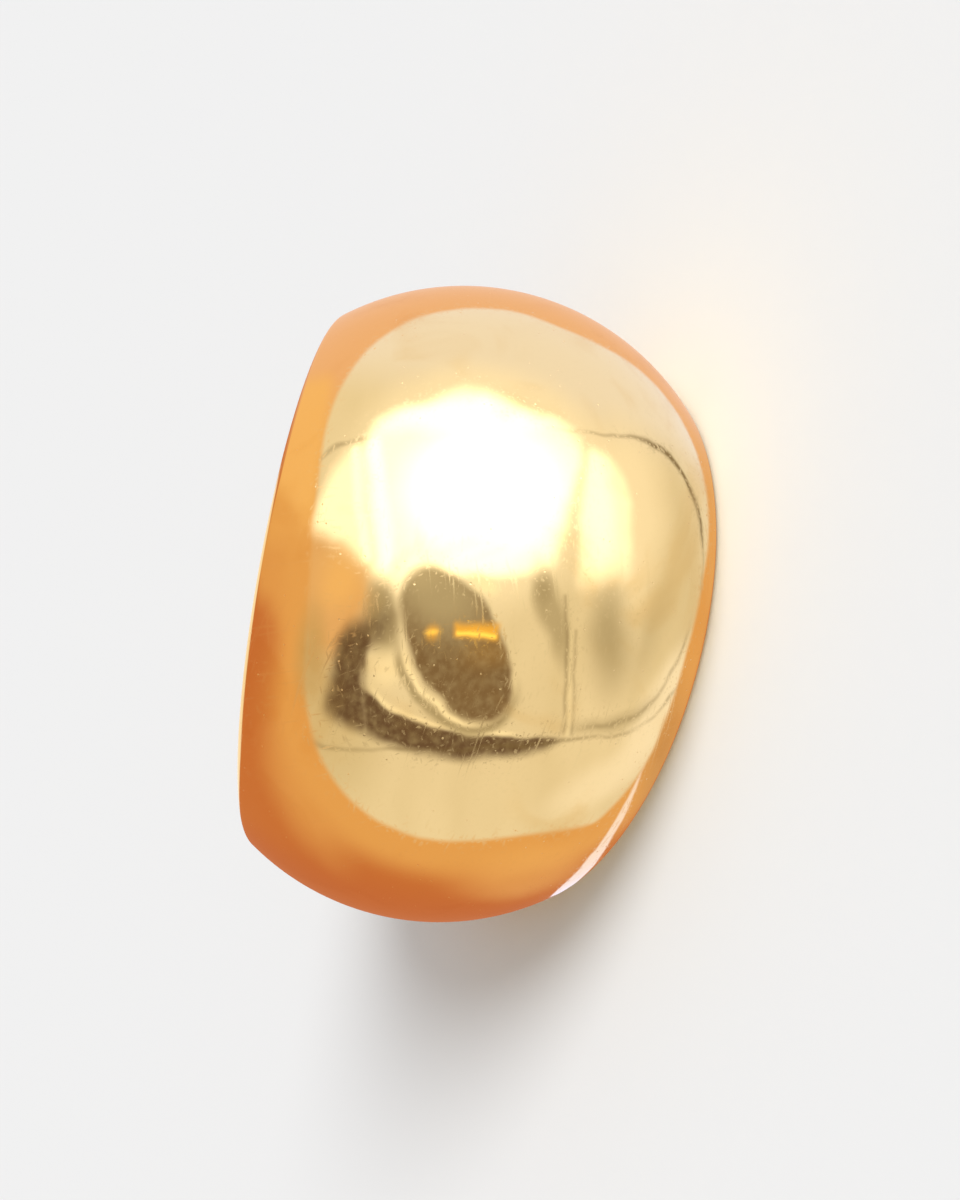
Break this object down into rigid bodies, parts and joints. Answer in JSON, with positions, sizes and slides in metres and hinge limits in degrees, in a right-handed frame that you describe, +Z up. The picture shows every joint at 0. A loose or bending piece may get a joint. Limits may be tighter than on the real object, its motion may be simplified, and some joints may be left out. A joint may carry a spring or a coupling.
{
  "type": "dome ring",
  "caption": "Plain domed finger ring in polished yellow gold, wide and thick at the crest and narrow at the back, lying on one side.",
  "frame": {"origin": "under the middle of the ring's turned outside, on the surface that the ring lies on", "axes": "+Z up from the surface, -Y the side of the domed crest, +Y the thin back, +X to the right seen from the crest; the finger hole leans back from +Z by 17.5 degrees toward +Y"},
  "size_m": [0.0243, 0.024, 0.0164],
  "materials": {
    "polished_gold": "polished 18 carat yellow gold with faint hairline scratches from wear"
  },
  "bodies": {
    "root": {"dome_band": "polished_gold"}
  },
  "joints": []
}
